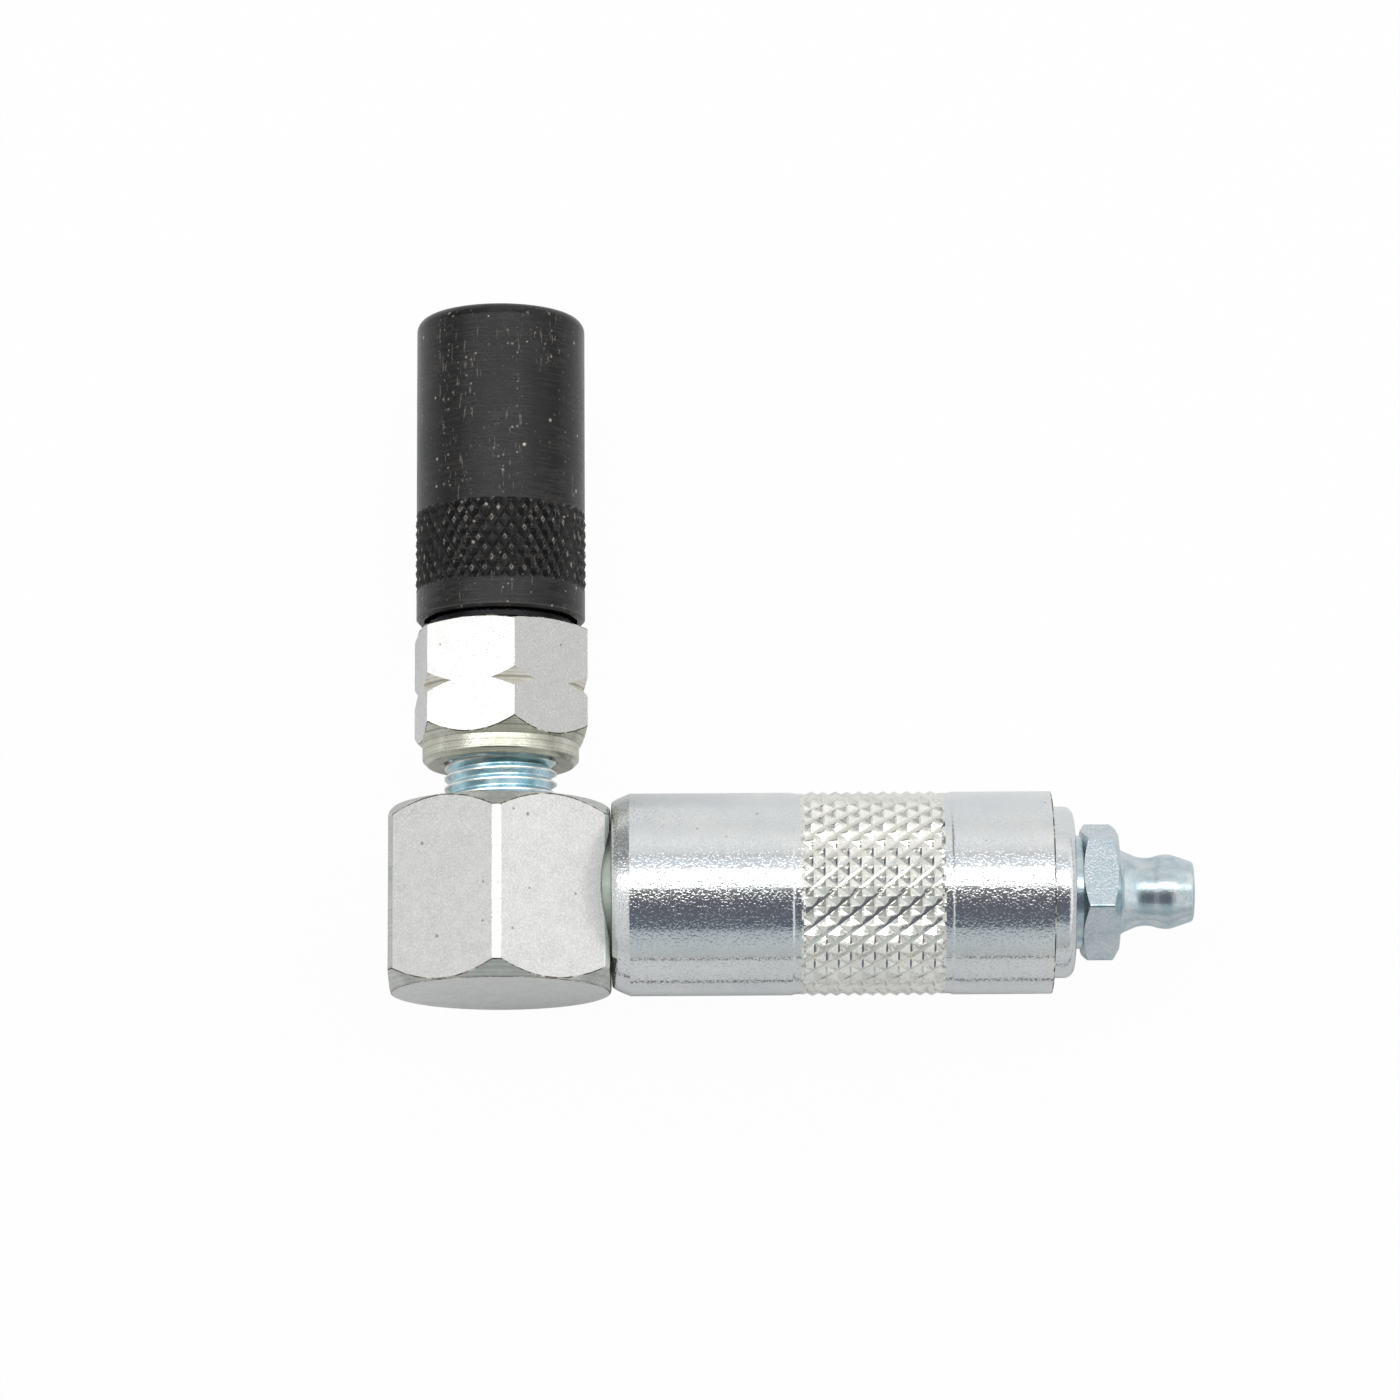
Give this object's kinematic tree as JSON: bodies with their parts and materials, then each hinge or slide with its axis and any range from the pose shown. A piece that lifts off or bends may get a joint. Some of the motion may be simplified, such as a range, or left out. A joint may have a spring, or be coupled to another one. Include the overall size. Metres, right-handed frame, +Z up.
{
  "type": "grease coupler",
  "caption": "Right-angle swivel grease coupler: knurled jaw coupler on a hexagon elbow, turning on a knurled barrel handle with a grease nipple inlet.",
  "frame": {"origin": "on the coupler axis, where the straight bore of the sleeve's mouth begins", "axes": "+Y out of the coupler's mouth, +X along the handle toward the inlet, +Z up as the coupler lies on a bench"},
  "size_m": [0.0693, 0.06, 0.0214],
  "materials": {
    "bright_zinc": "bright zinc plate, turned",
    "satin_zinc": "satin zinc plate",
    "body_zinc": "zinc plate with a faint yellow cast",
    "blue_zinc": "blue zinc plate",
    "black_steel": "black oxide, oiled satin",
    "hard_steel": "hardened steel, oiled",
    "spring_steel": "bright drawn wire and ground balls",
    "rubber": "matt black rubber",
    "bronze": "plain bearing bronze",
    "white_plastic": "waxy white plastic"
  },
  "bodies": {
    "handle": {"barrel": "bright_zinc", "end_plug": "bright_zinc", "plug_o_ring": "rubber", "thrust_washer": "bronze", "inlet_nipple": "blue_zinc", "inlet_spring": "spring_steel"},
    "inlet_ball": {"inlet_ball": "spring_steel"},
    "head": {"elbow": "satin_zinc", "spindle": "bright_zinc", "spindle_gasket": "satin_zinc", "spindle_o_ring": "rubber", "spindle_backup_ring": "white_plastic", "outlet_nipple": "blue_zinc", "coupler_body": "body_zinc", "valve_spring": "spring_steel", "valve_retainer": "hard_steel", "jaw_spring": "spring_steel"},
    "valve_ball": {"valve_ball": "spring_steel"},
    "sleeve_ring": {"sleeve_o_ring": "rubber"},
    "sleeve": {"sleeve": "black_steel"},
    "seal_carrier": {"jaw_washer": "hard_steel", "seal_piston": "hard_steel", "piston_o_ring": "rubber", "nose_seal": "rubber"},
    "jaw_1": {"jaw_1": "hard_steel"},
    "jaw_2": {"jaw_2": "hard_steel"},
    "jaw_3": {"jaw_3": "hard_steel"},
    "jaw_4": {"jaw_4": "hard_steel"}
  },
  "joints": [
    {"name": "head_swivel", "type": "hinge", "parent": "handle", "child": "head", "pos_m": [0.0127, -0.0508, 0], "axis": [1, 0, 0], "continuous": true},
    {"name": "inlet_lift", "type": "slide", "parent": "handle", "child": "inlet_ball", "axis": [-1, 0, 0], "range_m": [0, 0.001], "stiffness_N_per_m": 300, "springref_m": -0.003, "deforming": ["inlet_spring"]},
    {"name": "valve_lift", "type": "slide", "parent": "head", "child": "valve_ball", "axis": [0, 1, 0], "range_m": [0, 0.0009], "stiffness_N_per_m": 400, "springref_m": -0.0025, "deforming": ["valve_spring"]},
    {"name": "sleeve_turn", "type": "hinge", "parent": "head", "child": "sleeve_ring", "pos_m": [0, -0.0255, 0], "axis": [0, 1, 0], "range_deg": [-216, 360]},
    {"name": "sleeve_advance", "type": "slide", "parent": "sleeve_ring", "child": "sleeve", "axis": [0, 1, 0], "range_m": [-0.0006, 0.001]},
    {"name": "seal_retract", "type": "slide", "parent": "sleeve", "child": "seal_carrier", "axis": [0, -1, 0], "range_m": [0, 0.0014], "stiffness_N_per_m": 3800, "springref_m": -0.002, "deforming": ["jaw_spring"]},
    {"name": "jaw_1_open", "type": "slide", "parent": "sleeve", "child": "jaw_1", "axis": [0.342, -0.9397, 0], "range_m": [0, 0.00149]},
    {"name": "jaw_2_open", "type": "slide", "parent": "sleeve", "child": "jaw_2", "axis": [0, -0.9397, -0.342], "range_m": [0, 0.00149]},
    {"name": "jaw_3_open", "type": "slide", "parent": "sleeve", "child": "jaw_3", "axis": [-0.342, -0.9397, 0], "range_m": [0, 0.00149]},
    {"name": "jaw_4_open", "type": "slide", "parent": "sleeve", "child": "jaw_4", "axis": [0, -0.9397, 0.342], "range_m": [0, 0.00149]}
  ],
  "couplings": [
    {"joint": "sleeve_turn", "follows": "sleeve_advance", "rad_per_m": 6283.2},
    {"joint": "jaw_1_open", "follows": "seal_retract", "ratio": 1.0642},
    {"joint": "jaw_2_open", "follows": "seal_retract", "ratio": 1.0642},
    {"joint": "jaw_3_open", "follows": "seal_retract", "ratio": 1.0642},
    {"joint": "jaw_4_open", "follows": "seal_retract", "ratio": 1.0642}
  ]
}
